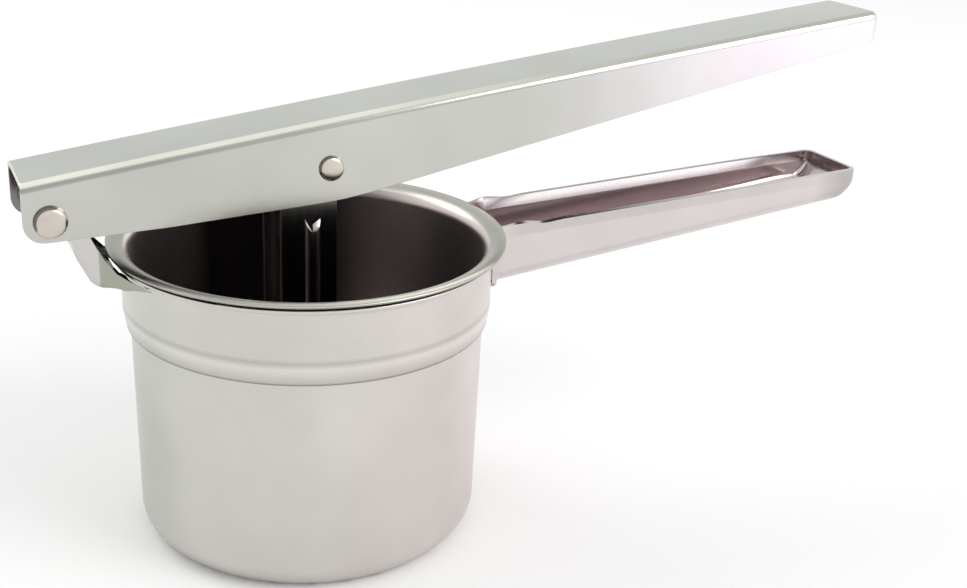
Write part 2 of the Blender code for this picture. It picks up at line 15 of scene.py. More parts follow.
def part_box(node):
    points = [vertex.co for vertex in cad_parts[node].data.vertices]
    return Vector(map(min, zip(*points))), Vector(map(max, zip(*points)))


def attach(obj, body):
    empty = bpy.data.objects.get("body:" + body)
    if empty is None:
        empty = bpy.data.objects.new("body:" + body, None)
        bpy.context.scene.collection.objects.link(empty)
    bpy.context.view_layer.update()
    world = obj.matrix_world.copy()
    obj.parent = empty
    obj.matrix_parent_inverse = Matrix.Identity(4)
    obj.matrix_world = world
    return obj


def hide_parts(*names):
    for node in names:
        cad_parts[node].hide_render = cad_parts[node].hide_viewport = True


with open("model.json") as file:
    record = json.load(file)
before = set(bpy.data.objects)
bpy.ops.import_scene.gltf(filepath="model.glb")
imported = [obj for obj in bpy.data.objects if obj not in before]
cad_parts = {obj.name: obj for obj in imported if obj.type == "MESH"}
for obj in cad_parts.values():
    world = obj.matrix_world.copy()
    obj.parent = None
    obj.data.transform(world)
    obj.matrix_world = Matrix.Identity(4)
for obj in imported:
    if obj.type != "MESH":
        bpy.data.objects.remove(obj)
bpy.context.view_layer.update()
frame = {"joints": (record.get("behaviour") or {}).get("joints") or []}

bl_info = {
    "name": "Passatelli press",
    "version": (1, 0, 0),
    "blender": (4, 5, 0),
    "location": "View3D > Sidebar > Press",
    "description": "Builds a lever press with a drop-in sieve basket, folded and drawn from stainless sheet",
    "category": "Add Mesh",
}

MM = 0.001

# The room between pieces that touch, and how near two places count as one.
GAP = 0.3 * MM
NEAR = 0.1 * MM

# How finely round things are turned.
CUP_STEPS = 192
ROOM_STEPS = 160
PAN_STEPS = 128
RIVET_STEPS = 48
HOLE_STEPS = 32
PUNCH_STEPS = 28
DEGREES_A_SEGMENT = 9

# How closely a shell is scored where it bends, and where it is nearly straight.
FINE_STEP = 0.5 * MM
COARSE_STEP = 10 * MM

# Sizes that two pieces share.
HINGE_SHAFT = 2.4 * MM
STRAP_SHAFT = 2.0 * MM
LIP_BEND = 1.6 * MM

# How closely the steel's grain is packed along X, Y and Z.
TURNED_GRAIN = (0.25, 0.25, 3.0)
ROLLED_GRAIN = (0.3, 2.0, 2.0)

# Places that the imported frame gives.
LEVER_HINGE, PLUNGER_HINGE = (Vector(joint["pos_m"]) for joint in frame["joints"])
BASKET_LOW, BASKET_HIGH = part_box("basket")
BASKET_AXIS = Vector(((BASKET_LOW.x + BASKET_HIGH.x) / 2, 0, 0))
RIM_LEVEL = BASKET_HIGH.z
RIM_RADIUS = (BASKET_HIGH.x - BASKET_LOW.x) / 2
RIM_CENTRE = BASKET_AXIS + Vector((0, 0, RIM_LEVEL))


def length(name, description, millimetres):
    """A size that a user can change."""
    return bpy.props.FloatProperty(
        name=name, description=description, default=millimetres * MM, unit="LENGTH", precision=4, step=0.01
    )


def tint(name, description, value):
    """A colour that a user can change."""
    return bpy.props.FloatVectorProperty(
        name=name, description=description, default=value, subtype="COLOR", size=3, min=0, max=1
    )


def share(name, description, value):
    """A number between nought and one that a user can change."""
    return bpy.props.FloatProperty(
        name=name, description=description, default=value, subtype="FACTOR", min=0, max=1
    )


class PressBasketSizes(bpy.types.PropertyGroup):
    """Sizes of the cup and of the ring that it hangs in."""

    sheet: length("Basket sheet", "Thickness of the cup", 0.7)
    rim_drop: length("Rim drop", "From the highest point down to the flat rim", 0.9)
    wall_radius: length("Wall radius", "Outside of the cup under its rim", 45.15)
    wall_taper: length("Wall taper", "How much narrower the cup is at its foot", 1.1)
    rim_bend: length("Rim bend", "Radius under the rim where it turns out of the wall", 3.4)
    floor_bend: length("Floor bend", "Outer radius where the wall turns into the floor", 6.6)
    hole_radius: length("Hole radius", "Radius of the sieve's holes", 2.5)
    hole_pitch: length("Hole pitch", "Distance between two rings of holes", 7.5)
    ring_sheet: length("Ring sheet", "Thickness of the band", 0.8)
    ring_radius: length("Ring radius", "Outside of the band", 46.6)
    lip_radius: length("Lip radius", "Outside of the band's flared lip", 48.75)
    lip_drop: length("Lip drop", "From the rim down to the lip's underside", 3.5)
    taper_drop: length("Taper drop", "From the rim down to where the band draws in", 18.2)
    foot_drop: length("Foot drop", "From the rim down to the band's foot", 22.2)


class PressLeverSizes(bpy.types.PropertyGroup):
    """Sizes of the long lever and of the two rivets through it."""

    sheet: length("Lever sheet", "Thickness of the lever", 1.2)
    half_width: length("Half width", "Half of the lever's width", 11.4)
    back: length("Back", "From the hinge back to the lever's open end", 6.0)
    tip: length("Tip", "From the hinge to the lever's closed tip", 229.3)
    top_rise: length("Top rise", "The top face above the hinge", 9.3)
    ear_drop: length("Ear drop", "The lower edge under the hinge", 4.9)
    knee: length("Knee", "From the hinge to where the lower edge starts to rise", 70.0)
    fold: length("Fold", "Outer radius of the long folds", 2.2)
    tip_fold: length("Tip fold", "Radius of the tip's upright corners", 3.0)
    bow: length("Bow", "How far the top face is bowed upwards", 1.0)
    hinge_head: length("Hinge head", "Radius of the hinge rivet's heads", 3.85)
    strap_head: length("Strap head", "Radius of the strap rivet's heads", 3.15)


class PressHandleSizes(bpy.types.PropertyGroup):
    """Sizes of the lower handle and of the hinge bracket."""

    sheet: length("Handle sheet", "Thickness of the handle", 1.2)
    half_width: length("Half width", "Half of the handle's width", 11.5)
    fold: length("Fold", "Outer radius of the handle's lower folds", 3.6)
    tip: length("Tip", "From the basket's axis to the nose", 164.6)
    depth: length("Depth", "From the rim's level down to the underside at the root", 17.8)
    top_drop: length("Top drop", "The edge's line under the rim's level, at the axis", 3.9)
    knee: length("Knee", "From the axis to where the underside starts to rise", 56.0)
    nose_depth: length("Nose depth", "Height of the nose", 8.8)
    bracket_sheet: length("Bracket sheet", "Thickness of the bracket and of the strap", 1.5)
    ear_radius: length("Ear radius", "Radius of the bracket's ears round the hinge", 4.4)


class PressPlungerSizes(bpy.types.PropertyGroup):
    """Sizes of the strap and of the disc that it pushes."""

    reach: length("Reach", "From the strap's rivet down to the disc's underside", 87.0)
    strap_offset: length("Strap offset", "The strap's middle behind its rivet", 4.6)
    strap_half_width: length("Strap half width", "Half of a leg's width", 7.1)
    strap_half_span: length("Strap half span", "From the middle to a leg's outer face", 8.4)
    rib_height: length("Rib height", "How far the ribs stand out of the legs", 1.4)
    rib_top: length("Rib top", "From the rivet down to the ribs' open ends", 13.0)
    disc_sheet: length("Disc sheet", "Thickness of the disc", 1.2)
    disc_radius: length("Disc radius", "Radius of the disc", 37.5)


class PressFinish(bpy.types.PropertyGroup):
    """Colours and polish of the steel."""

    satin: tint("Satin steel", "The drawn cup and band", (0.68, 0.655, 0.62))
    bright: tint("Bright steel", "The lever", (0.57, 0.57, 0.53))
    rosy: tint("Warm steel", "The lower handle", (0.69, 0.64, 0.63))
    mirror: tint("Mirror steel", "The strap and the disc", (0.50, 0.49, 0.48))
    satin_polish: share("Satin roughness", "How blurred the cup reflects", 0.30)
    bright_polish: share("Bright roughness", "How blurred the lever reflects", 0.17)


def settled(thing):
    """Turns an object's modifiers into plain mesh."""
    bpy.context.view_layer.update()
    evaluated = thing.evaluated_get(bpy.context.evaluated_depsgraph_get())
    mesh = bpy.data.meshes.new_from_object(evaluated)
    thing.modifiers.clear()
    old = thing.data
    thing.data = mesh
    bpy.data.meshes.remove(old)
    return thing


def piece(name, shape):
    """An object at the origin for a finished bmesh."""
    mesh = bpy.data.meshes.new(name)
    shape.to_mesh(mesh)
    shape.free()
    mesh.shade_smooth()
    thing = bpy.data.objects.new(name, mesh)
    bpy.context.scene.collection.objects.link(thing)
    return thing


def give_sheet(thing, thickness):
    """Gives an open shell its sheet, inwards."""
    wall = thing.modifiers.new("Sheet", "SOLIDIFY")
    wall.thickness = thickness
    wall.offset = -1
    wall.use_even_offset = True
    wall.use_quality_normals = True
    return settled(thing)


def combine(thing, other, operation):
    """Cuts a helper shape out of a piece or joins it on, and removes the helper."""
    step = thing.modifiers.new("Combine", "BOOLEAN")
    step.operation = operation
    step.object = other
    step.solver = "EXACT"
    settled(thing)
    bpy.data.objects.remove(other, do_unlink=True)


def blend(low, high, part):
    """A value between two others, held at both ends."""
    part = max(0, min(1, part))
    return low + (high - low) * part


def shaded(colour, level):
    """A colour made darker or brighter."""
    return tuple(level * channel for channel in colour)


def plain(spot, way):
    """The same tone all over a piece."""
    return (1, 1, 1)


def painted_side_reflection(way):
    """Painted reflection: cooler on the hinge's side of the cup and warmer on the handle's."""
    part = 0.5 + 0.5 * way.x
    return tuple(blend(low, high, part) for low, high in ((0.93, 1.10), (0.96, 1.04), (0.95, 1.07)))


def write_painted_light(thing, rule):
    """Writes the painted light and shade at each point as the tone attribute, told by the point's place and
    direction.
    """
    mesh = thing.data
    painted_light_layer = mesh.attributes.new("tone", "FLOAT_COLOR", "POINT")
    for vert in mesh.vertices:
        painted_light_layer.data[vert.index].color = (*rule(vert.co, vert.normal), 1)


def dress(thing, body, nodes, material, edge=0.25 * MM, tone=plain):
    """Eases the sheet's cut edges, evens the shading, writes the piece's painted light and shade, and hands
    the piece to the frame.
    """
    if edge:
        ease = thing.modifiers.new("Ease", "BEVEL")
        ease.width = edge
        ease.segments = 2
        ease.limit_method = "ANGLE"
        ease.angle_limit = math.radians(50)
        ease.profile = 0.5
    even = thing.modifiers.new("Even", "WEIGHTED_NORMAL")
    even.mode = "FACE_AREA"
    even.weight = 50
    even.keep_sharp = True
    settled(thing)
    write_painted_light(thing, tone)
    thing.data.materials.clear()
    thing.data.materials.append(material)
    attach(thing, body)
    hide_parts(*nodes)


def move(shape, way):
    """Moves a whole shape."""
    bmesh.ops.translate(shape, verts=shape.verts, vec=way)


def polyline(shape, points, closed=False):
    """A line of edges in X and Z; a point may give the radius of its corner as a third number."""
    verts = [shape.verts.new((point[0], 0, point[1])) for point in points]
    for first, second in zip(verts, verts[1:]):
        shape.edges.new((first, second))
    if closed:
        shape.edges.new((verts[-1], verts[0]))
    for vert, point in zip(verts, points):
        if len(point) > 2:
            round_corner(shape, vert, point[2])


def round_corner(shape, vert, radius):
    """Replaces a corner of a line by an arc."""
    ways = [edge.other_vert(vert).co - vert.co for edge in vert.link_edges]
    turn = math.pi - ways[0].angle(ways[1])
    bmesh.ops.bevel(
        shape,
        geom=[vert],
        offset=radius * math.tan(turn / 2),
        offset_type="OFFSET",
        segments=max(2, round(math.degrees(turn) / DEGREES_A_SEGMENT)),
        profile=0.5,
        affect="VERTICES",
        material=-1,
        clamp_overlap=False,
    )


def turned(points, steps, axis="Z"):
    """A profile turned about the Z axis, or about Y with the profile's Z along it."""
    shape = bmesh.new()
    polyline(shape, points)
    bmesh.ops.spin(
        shape,
        geom=shape.verts[:] + shape.edges[:],
        cent=(0, 0, 0),
        axis=(0, 0, 1),
        angle=math.tau,
        steps=steps,
        use_merge=True,
    )
    bmesh.ops.remove_doubles(shape, verts=shape.verts, dist=0.001 * MM)
    bmesh.ops.recalc_face_normals(shape, faces=shape.faces)
    if axis == "Y":
        quarter = Matrix.Rotation(math.radians(-90), 3, "X")
        bmesh.ops.rotate(shape, verts=shape.verts, cent=(0, 0, 0), matrix=quarter)
    return shape


def slab(points, half_width):
    """A side outline in X and Z given its width in Y, as a closed shape."""
    shape = bmesh.new()
    polyline(shape, points, closed=True)
    made = bmesh.ops.contextual_create(shape, geom=shape.edges[:])
    move(shape, (0, -half_width, 0))
    grown = bmesh.ops.extrude_face_region(shape, geom=made["faces"])
    fresh = [item for item in grown["geom"] if isinstance(item, bmesh.types.BMVert)]
    bmesh.ops.translate(shape, verts=fresh, vec=(0, 2 * half_width, 0))
    bmesh.ops.recalc_face_normals(shape, faces=shape.faces)
    return shape


def open_up(shape, is_open):
    """Takes away the strips of a slab that its sheet leaves open, told by their middle and direction."""
    strips = [face for face in shape.faces if abs(face.normal.y) < 0.5]
    strips = [face for face in strips if is_open(face.calc_center_median(), face.normal)]
    bmesh.ops.delete(shape, geom=strips, context="FACES_KEEP_BOUNDARY")
    loose = [edge for edge in shape.edges if not edge.link_faces]
    bmesh.ops.delete(shape, geom=loose, context="EDGES")


def fold(shape, is_folded, radius, segments=6):
    """Rounds the edges where two faces of a shell meet, told by their middle and their direction."""
    edges = []
    for edge in shape.edges:
        if len(edge.link_faces) == 2 and edge.calc_face_angle() > math.radians(40):
            middle = (edge.verts[0].co + edge.verts[1].co) / 2
            way = (edge.verts[1].co - edge.verts[0].co).normalized()
            if is_folded(middle, way):
                edges.append(edge)
    bmesh.ops.bevel(
        shape,
        geom=edges,
        offset=radius,
        offset_type="OFFSET",
        segments=segments,
        profile=0.5,
        affect="EDGES",
        material=-1,
        clamp_overlap=False,
    )


def score(shape, place, way):
    """Divides a shell's faces along a plane, so that it can be shaped there."""
    bmesh.ops.bisect_plane(
        shape,
        geom=shape.verts[:] + shape.edges[:] + shape.faces[:],
        dist=0.0001 * MM,
        plane_co=place,
        plane_no=way,
    )


def score_along(shape, start, end, step):
    """Scores a shell across at even steps in X."""
    for i in range(round((end - start) / step) + 1):
        score(shape, (start + i * step, 0, 0), (1, 0, 0))


def turn_out(shape, spot, way):
    """Makes the faces of an open shell point outwards, told by the face nearest to a spot."""
    shape.faces.ensure_lookup_table()
    nearest = min(shape.faces, key=lambda face: (face.calc_center_median() - Vector(spot)).length)
    if nearest.normal.dot(Vector(way)) < 0:
        bmesh.ops.reverse_faces(shape, faces=shape.faces)


def wrap(shape, axis, side, outer, bend, share):
    """Bends the ends of two walls outwards, so that they lie on the ring as tabs.

    The ring's axis is told by its place in X. The walls are a side away from the middle, and their
    tabs lie at the outer radius, past a bend. Each point goes as much of the way as its share says.
    """
    middle = Vector((0, side + bend))
    middle.x = math.sqrt((outer + bend) ** 2 - middle.y**2)
    start = math.atan2(middle.y, middle.x)
    turn = math.pi / 2 - start
    for vert in shape.verts:
        past = middle.x - abs(vert.co.x - axis)
        part = share(vert.co)
        if past <= 0 or part == 0:
            continue
        if past < bend * turn:
            angle = past / bend
            place = middle - bend * Vector((math.sin(angle), math.cos(angle)))
        else:
            angle = start + (past - bend * turn) / outer
            place = outer * Vector((math.cos(angle), math.sin(angle)))
        inset = side - abs(vert.co.y)
        along = axis + math.copysign(place.x, vert.co.x - axis)
        aside = side + (place.y - side) * part - inset
        vert.co.x += (along - vert.co.x) * part
        vert.co.y = math.copysign(aside, vert.co.y)


def ring_room(basket):
    """The space of the band and the rim, a gap larger, that welded pieces are cut to."""
    rim = RIM_RADIUS + GAP
    lip = basket.lip_radius + GAP
    band = basket.ring_radius + GAP
    under_rim = -basket.sheet - GAP
    under_lip = -basket.lip_drop - GAP
    above = 40 * MM
    below = -60 * MM
    points = [
        (0, above),
        (rim, above),
        (rim, under_rim),
        (lip, under_rim),
        (lip, under_lip),
        (band, under_lip - LIP_BEND),
        (band, below),
        (0, below),
    ]
    shape = turned(points, ROOM_STEPS)
    move(shape, RIM_CENTRE)
    return piece("room", shape)


def rivet_hole(place, shaft):
    """A round cutter through both walls for a rivet's shaft and its room."""
    radius = shaft + GAP
    reach = 20 * MM
    shape = turned([(0, -reach), (radius, -reach), (radius, reach), (0, reach)], HOLE_STEPS, axis="Y")
    move(shape, place)
    return piece("rivet_hole", shape)


class Wiring:
    """Adds nodes to a tree and joins them by their sockets' names or numbers."""

    def __init__(self, tree):
        self.tree = tree

    def add(self, kind, **values):
        """A node with some of its inputs or settings given."""
        node = self.tree.nodes.new(kind)
        for key, value in values.items():
            if key in node.inputs:
                node.inputs[key].default_value = value
            else:
                setattr(node, key, value)
        return node

    def join(self, *links):
        """Joins outputs to inputs, each told as a node, its output, the next node and its input."""
        for source, output, target, socket in links:
            self.tree.links.new(source.outputs[output], target.inputs[socket])


def steel(name, colour, roughness, grain=(1, 1, 1), grain_depth=0.02):
    """Stainless sheet: fine rolled or turned grain, faint clouds of tone and uneven polish."""
    cloud = 0.05
    spread = 0.05
    least_roughness = 0.03
    material = bpy.data.materials.new(name)
    material.use_nodes = True
    shader = material.node_tree.nodes["Principled BSDF"]
    shader.inputs["Metallic"].default_value = 1.0
    wiring = Wiring(material.node_tree)
    place = wiring.add("ShaderNodeTexCoord")
    stretch = wiring.add("ShaderNodeMapping", Scale=grain)
    lines = wiring.add("ShaderNodeTexNoise", Scale=900.0, Detail=3.0, Roughness=0.55)
    relief = wiring.add("ShaderNodeBump", Strength=grain_depth, Distance=0.0002)
    clouds = wiring.add("ShaderNodeTexNoise", Scale=38.0, Detail=2.0, Roughness=0.5)
    shades = wiring.add("ShaderNodeValToRGB")
    stops = shades.color_ramp.elements
    for stop, position, level in zip(stops, (0.3, 0.7), (1 - cloud, 1 + cloud)):
        stop.position = position
        stop.color = (*(min(1, channel * level) for channel in colour), 1)
    # The tone attribute holds each piece's painted light and shade, which scales the base colour.
    tone = wiring.add("ShaderNodeAttribute", attribute_name="tone")
    both = wiring.add("ShaderNodeVectorMath", operation="MULTIPLY")
    polish = wiring.add("ShaderNodeMapRange")
    polish.inputs["To Min"].default_value = max(least_roughness, roughness - spread)
    polish.inputs["To Max"].default_value = roughness + spread
    wiring.join(
        (place, "Object", stretch, "Vector"),
        (stretch, "Vector", lines, "Vector"),
        (lines, "Fac", relief, "Height"),
        (relief, "Normal", shader, "Normal"),
        (place, "Object", clouds, "Vector"),
        (clouds, "Fac", shades, "Fac"),
        (shades, "Color", both, 0),
        (tone, "Color", both, 1),
        (both, "Vector", shader, "Base Color"),
        (lines, "Fac", polish, "Value"),
        (polish, "Result", shader, "Roughness"),
    )
    return material


class PRESS_OT_stage(bpy.types.Operator):
    """Sets the camera, the pale floor, the soft lamps and the white surroundings."""

    bl_idname = "press.stage"
    bl_label = "Stage"

    def execute(self, context):
        scene = context.scene
        scene.view_settings.view_transform = "Standard"
        scene.camera = self.camera(scene)
        self.floor()
        self.lamps(scene)
        self.surroundings(scene)
        return {"FINISHED"}

    def camera(self, scene):
        """The photograph's viewpoint."""
        lens = bpy.data.cameras.new("camera")
        lens.sensor_width = 36.0
        lens.lens = 49.70
        lens.shift_x = 0.0176
        lens.shift_y = -0.0262
        lens.clip_start = 0.01
        lens.clip_end = 20.0
        camera = bpy.data.objects.new("camera", lens)
        scene.collection.objects.link(camera)
        eye = Matrix.Translation((-0.147547, -0.306008, 0.188433))
        yaw, pitch, roll = 0.44084, -0.35639, -0.04132
        level = Vector((math.sin(yaw) * math.cos(pitch), math.cos(yaw) * math.cos(pitch), 0))
        ahead = level + Vector((0, 0, math.sin(pitch)))
        right = Vector((math.cos(yaw), -math.sin(yaw), 0))
        down = ahead.cross(right)
        across = math.cos(roll) * right + math.sin(roll) * down
        along = math.cos(roll) * down - math.sin(roll) * right
        turn = Matrix((across, -along, -ahead)).transposed().to_4x4()
        camera.matrix_world = eye @ turn
        return camera

    def floor(self):
        """A pale floor that keeps the object's shadow and looks a little paler to the camera."""
        first_colour, second_colour, mixed_colour = 6, 7, 2
        shape = bmesh.new()
        bmesh.ops.create_grid(shape, x_segments=1, y_segments=1, size=6.0)
        floor = piece("floor", shape)
        material = bpy.data.materials.new("floor_paint")
        material.use_nodes = True
        shader = material.node_tree.nodes["Principled BSDF"]
        shader.inputs["Roughness"].default_value = 0.9
        shader.inputs["Specular IOR Level"].default_value = 0.0
        wiring = Wiring(material.node_tree)
        path = wiring.add("ShaderNodeLightPath")
        paint = wiring.add("ShaderNodeMix", data_type="RGBA")
        paint.inputs[first_colour].default_value = (0.9, 0.9, 0.9, 1)
        paint.inputs[second_colour].default_value = (0.99, 0.99, 0.99, 1)
        wiring.join(
            (path, "Is Camera Ray", paint, "Factor"),
            (paint, mixed_colour, shader, "Base Color"),
        )
        floor.data.materials.append(material)

    def lamps(self, scene):
        """Two large soft lamps that point at the press."""
        aim = Vector((0, 0, 0.06))
        for name, place, size, power in (
            ("lamp_front", (0.9, -1.0, 0.9), 1.1, 9.0),
            ("lamp_back", (-0.9, 1.2, 1.3), 1.2, 7.0),
        ):
            light = bpy.data.lights.new(name, "AREA")
            light.shape = "DISK"
            light.size = size
            light.energy = power
            lamp = bpy.data.objects.new(name, light)
            lamp.location = place
            lamp.rotation_euler = (aim - Vector(place)).to_track_quat("-Z", "Y").to_euler()
            scene.collection.objects.link(lamp)

    def surroundings(self, scene):
        """White all round for what is seen directly or mirrored, and a plain light level."""
        world = bpy.data.worlds.new("surroundings")
        scene.world = world
        world.use_nodes = True
        world.node_tree.nodes.clear()
        wiring = Wiring(world.node_tree)
        path = wiring.add("ShaderNodeLightPath")
        some = wiring.add("ShaderNodeMath", operation="MAXIMUM")
        seen = wiring.add("ShaderNodeMath", operation="MAXIMUM")
        light = wiring.add("ShaderNodeBackground", Color=(1, 1, 1, 1), Strength=0.8)
        white = wiring.add("ShaderNodeBackground", Color=(1, 1, 1, 1), Strength=1.0)
        either = wiring.add("ShaderNodeMixShader")
        out = wiring.add("ShaderNodeOutputWorld")
        wiring.join(
            (path, "Is Camera Ray", some, 0),
            (path, "Is Glossy Ray", some, 1),
            (some, 0, seen, 0),
            (path, "Is Transmission Ray", seen, 1),
            (seen, 0, either, 0),
            (light, 0, either, 1),
            (white, 0, either, 2),
            (either, 0, out, 0),
        )


class PRESS_OT_basket(bpy.types.Operator):
    """Draws the cup with its flat rim and punches the sieve's 91 holes."""

    bl_idname = "press.basket"
    bl_label = "Basket"
    rings = 5
    rim_reach = 36 * MM
    rim_depth = 8 * MM
    # Painted light: a greyer rim, a highlight along its bend and shade inside the cup.
    painted_rim_shade = (0.58, 0.60, 0.56)
    painted_bend_highlight = (0.95, 0.92, 0.95)
    painted_cup_shade_tint = (1, 0.92, 0.94)

    def execute(self, context):
        sizes = context.scene.press_basket
        finish = context.scene.press_finish
        under_rim = RIM_LEVEL - sizes.rim_drop - sizes.sheet
        points = [
            (RIM_RADIUS, under_rim),
            (sizes.wall_radius, under_rim, sizes.rim_bend),
            (sizes.wall_radius - sizes.wall_taper, 0, sizes.floor_bend),
            (0, 0),
        ]
        shape = turned(points, CUP_STEPS)
        turn_out(shape, (0, 0, 0), (0, 0, -1))
        move(shape, BASKET_AXIS)
        basket = give_sheet(piece("drawn_basket", shape), sizes.sheet)
        combine(basket, self.punches(sizes), "DIFFERENCE")
        material = steel("satin_steel", finish.satin, finish.satin_polish, grain=TURNED_GRAIN)
        dress(basket, "root", ["basket"], material, edge=0, tone=self.tone)
        return {"FINISHED"}

    def tone(self, spot, way):
        """Painted light: a greyer rim, brighter towards the front and darker on the hinge's side, a painted
        highlight along its bend, and painted shade inside the cup that brightens towards its sides.
        """
        out = Vector((spot.x, spot.y, 0)) - BASKET_AXIS
        reach = max(out.length, 1 * MM)
        facing = way.dot(out) / reach
        on_rim = out.length > self.rim_reach and spot.z > RIM_LEVEL - self.rim_depth
        if on_rim and (way.z > 0.3 or facing < -0.2):
            if facing > -0.65:
                # Painted light on the rim: brighter towards the front, darker towards the hinge.
                nearness = blend(1, 1.5, -2 * out.y / reach - 1)
                return shaded(self.painted_rim_shade, nearness * blend(1, 0.78, -out.x / reach))
            if facing > -0.76:
                return self.painted_bend_highlight
        if facing < -0.3 or (way.z > 0.3 and spot.z < 20 * MM):
            aside = out.x / reach
            # Painted reflection towards the sides, brighter on the hinge's side, over painted shade in the
            # middle.
            lit = 1.38 if aside < 0 else 0.92
            return shaded(self.painted_cup_shade_tint, blend(0.05, lit, (abs(aside) - 0.35) / 0.55))
        return painted_side_reflection(way)

    def punches(self, sizes):
        """One flared punch for each hole: one in the middle and five rings round it."""
        radius = sizes.hole_radius
        ease = 0.3 * MM
        upper_mouth = 0.75 * MM
        low = -3 * MM
        high = 5 * MM
        points = [
            (0, low),
            (radius + ease, low),
            (radius + ease, 0),
            (radius, ease),
            (radius, upper_mouth),
            (radius + ease, upper_mouth + ease),
            (radius + ease, high),
            (0, high),
        ]
        punches = turned(points, PUNCH_STEPS)
        first = punches.verts[:] + punches.edges[:] + punches.faces[:]
        first_angle = math.radians(36)
        for ring in range(1, self.rings + 1):
            holes = 6 * ring
            for i in range(holes):
                angle = first_angle + math.tau * i / holes
                place = Vector((math.cos(angle), math.sin(angle), 0)) * ring * sizes.hole_pitch
                made = bmesh.ops.duplicate(punches, geom=first)
                verts = [item for item in made["geom"] if isinstance(item, bmesh.types.BMVert)]
                bmesh.ops.translate(punches, verts=verts, vec=place)
        move(punches, BASKET_AXIS)
        return piece("punches", punches)


class PRESS_OT_holder_ring(bpy.types.Operator):
    """Rolls the band round the basket, with its flared lip and drawn-in foot."""

    bl_idname = "press.holder_ring"
    bl_label = "Holder ring"
    crease = 1.7 * MM
    taper_bend = 4.0 * MM
    foot_bend = 2.0 * MM
    # Painted shadow on the lip behind the hinge bracket.
    shadow = (0.16, 0.16, 0.16)

    def execute(self, context):
        sizes = context.scene.press_basket
        finish = context.scene.press_finish
        lip = RIM_LEVEL - sizes.lip_drop
        taper = RIM_LEVEL - sizes.taper_drop
        end = RIM_LEVEL - sizes.foot_drop
        narrower = sizes.wall_taper * sizes.foot_drop / RIM_LEVEL
        foot = sizes.wall_radius - narrower + GAP + sizes.ring_sheet
        points = [
            (sizes.lip_radius, lip),
            (sizes.ring_radius, lip, LIP_BEND),
            (sizes.ring_radius, taper + 2.8 * MM),
            (sizes.ring_radius, taper + self.crease),
            (sizes.ring_radius, taper, self.taper_bend),
            (foot + 0.1 * MM, end + 0.8 * MM, self.foot_bend),
            (foot, end),
        ]
        shape = turned(points, CUP_STEPS)
        turn_out(shape, (sizes.ring_radius, 0, RIM_LEVEL - 12 * MM), (1, 0, 0))
        move(shape, BASKET_AXIS)
        ring = give_sheet(piece("rolled_ring", shape), sizes.ring_sheet)
        material = steel("band_steel", finish.satin, finish.satin_polish - 0.04, grain=TURNED_GRAIN)
        dress(ring, "root", ["holder_ring"], material, edge=0.2 * MM, tone=self.tone)
        return {"FINISHED"}

    def tone(self, spot, way):
        """Painted shadow on the lip behind the hinge bracket, and painted highlight and shade in lines round
        the taper and the foot.
        """
        sizes = bpy.context.scene.press_basket
        behind = (spot.x - BASKET_AXIS.x) / RIM_RADIUS < -0.66
        if way.z > 0.2 and behind:
            return self.shadow
        drop = RIM_LEVEL - spot.z
        # Painted shade at the crease and the foot, and a painted highlight over the taper.
        level = 1
        if abs(drop - sizes.taper_drop + self.crease) < 0.2 * MM:
            level = 0.80
        elif abs(drop - sizes.taper_drop) < 1.4 * MM:
            level = 1.12
        elif drop > sizes.foot_drop - 0.5 * MM:
            level = 0.42
        elif drop > sizes.foot_drop - 1.4 * MM:
            level = 0.86
        return shaded(painted_side_reflection(way), level)


